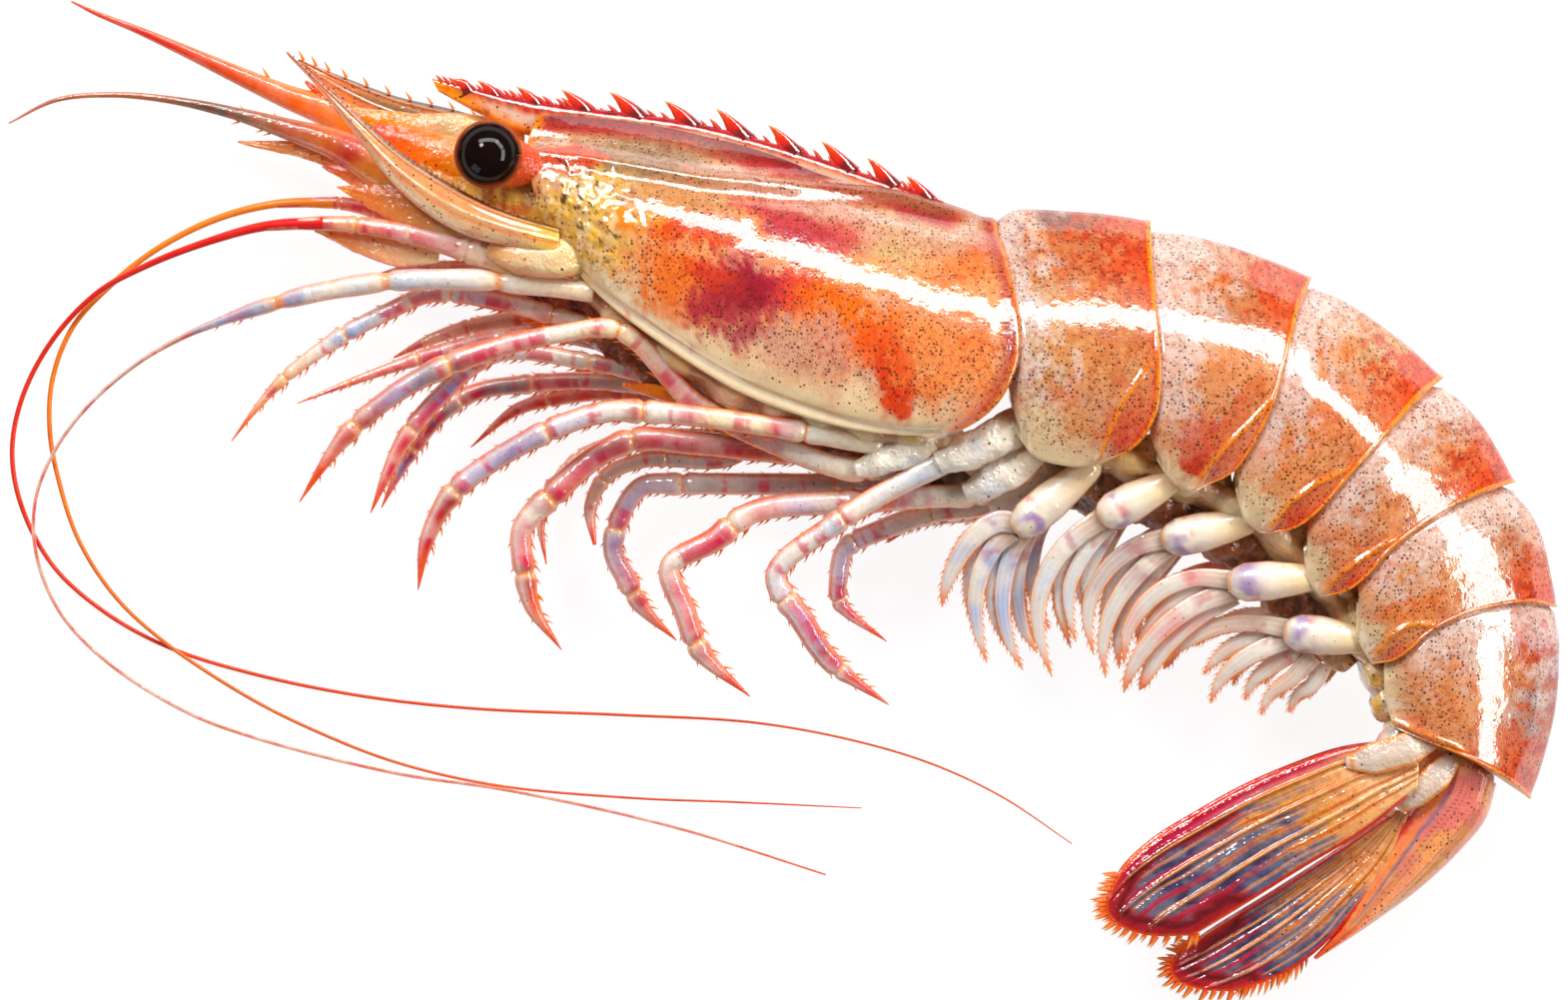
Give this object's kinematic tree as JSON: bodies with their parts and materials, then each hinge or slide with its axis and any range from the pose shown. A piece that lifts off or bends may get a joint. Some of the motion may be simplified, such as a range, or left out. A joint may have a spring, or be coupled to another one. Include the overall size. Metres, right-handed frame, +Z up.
{
  "type": "raw shrimp",
  "caption": "Whole raw shrimp lying on its flank, with a toothed head shell, ringed tail, folded legs, tail fan and long whips.",
  "frame": {"origin": "centre of the bounding box at the table it lies on", "axes": "+X from the head to the tail, +Y towards the back, +Z up from the flank it lies on"},
  "size_m": [0.1556, 0.0994, 0.0194],
  "materials": {
    "shell": "wet translucent shell, peach and grey-pink with orange-red patches, dark brown dots and orange plate edges",
    "flesh": "wet cream-white flesh with yellow shading",
    "limb": "translucent pale limb with magenta and violet bands and orange edges",
    "fin": "thin blade, ochre at the root to grey-blue and dark crimson at the margin, with veins",
    "whip": "orange-red horny whip",
    "eye": "polished near-black"
  },
  "bodies": {
    "root": {"antenna_far": "whip", "antenna_near": "whip", "antennal_scale_far": "shell", "antennal_scale_near": "shell", "antennule_far": "whip", "antennule_near": "whip", "belly": "flesh", "carapace": "shell", "eye_far": "eye", "eye_near": "eye", "fan_base_far": "limb", "fan_base_near": "limb", "head": "flesh", "leg_1_far": "limb", "leg_1_near": "limb", "leg_2_far": "limb", "leg_2_near": "limb", "leg_3_far": "limb", "leg_3_near": "limb", "leg_4_far": "limb", "leg_4_near": "limb", "leg_5_far": "limb", "leg_5_near": "limb", "leg_branch_1_far": "limb", "leg_branch_2_far": "limb", "mouth_leg_1_far": "limb", "mouth_leg_1_near": "limb", "mouth_leg_2_far": "limb", "mouth_leg_2_near": "limb", "mouth_leg_3_far": "limb", "mouth_leg_3_near": "limb", "pleopod_1_far": "limb", "pleopod_1_near": "limb", "pleopod_2_far": "limb", "pleopod_2_near": "limb", "pleopod_3_far": "limb", "pleopod_3_near": "limb", "pleopod_4_far": "limb", "pleopod_4_near": "limb", "pleopod_5_far": "limb", "pleopod_5_near": "limb", "telson": "shell", "tergite_1": "shell", "tergite_2": "shell", "tergite_3": "shell", "tergite_4": "shell", "tergite_5": "shell", "tergite_6": "shell", "thorax": "flesh", "uropod_inner_far": "fin", "uropod_inner_near": "fin", "uropod_outer_far": "fin", "uropod_outer_near": "fin"}
  },
  "joints": []
}
